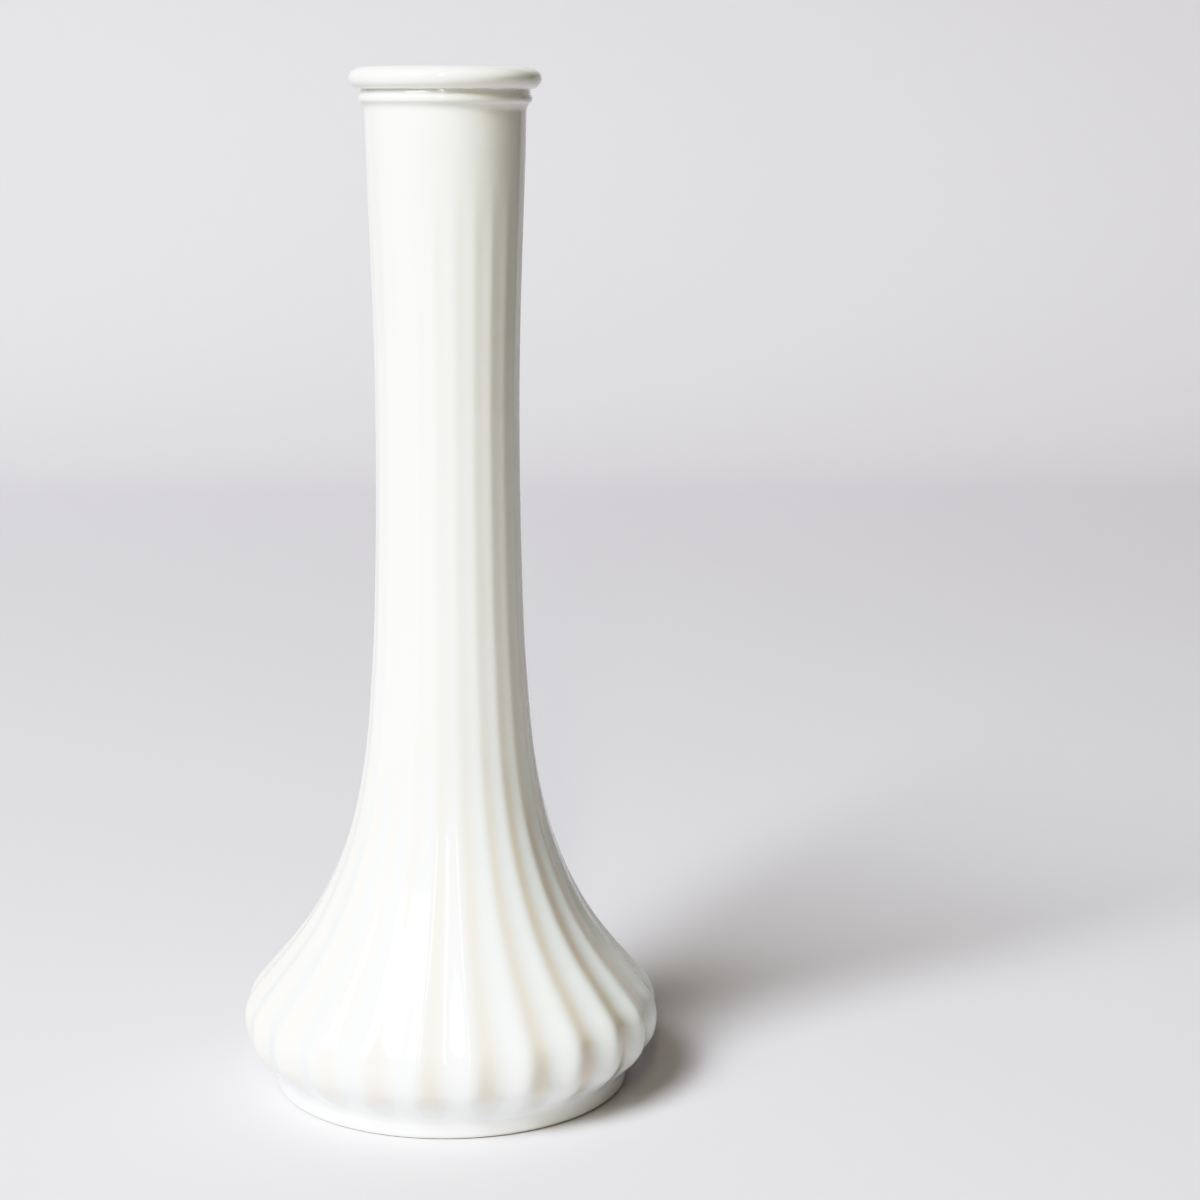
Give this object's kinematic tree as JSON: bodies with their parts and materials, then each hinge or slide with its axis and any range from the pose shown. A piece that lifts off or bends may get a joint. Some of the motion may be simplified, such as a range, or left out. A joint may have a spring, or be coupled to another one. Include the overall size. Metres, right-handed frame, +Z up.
{
  "type": "bud vase",
  "caption": "Tall ribbed bud vase in opal glass, with a rolled lip, a slim neck that flares into a low round bulb, and a flat round foot.",
  "frame": {"origin": "centre of the foot, on the surface the vase stands on", "axes": "+Z up the vase's axis, -Y the front, +X to the right seen from the front; a rib's crest lies on each of -Y, +X, +Y and -X"},
  "size_m": [0.0948, 0.0948, 0.229],
  "materials": {
    "opal_glass": "glossy opaque white opal glass, faintly warm in the grooves"
  },
  "bodies": {
    "root": {"lip_bead": "opal_glass", "collar_ring": "opal_glass", "throat": "opal_glass", "ribbed_neck": "opal_glass", "ribbed_flare": "opal_glass", "ribbed_bulb": "opal_glass", "foot_ring": "opal_glass", "base_floor": "opal_glass"}
  },
  "joints": []
}
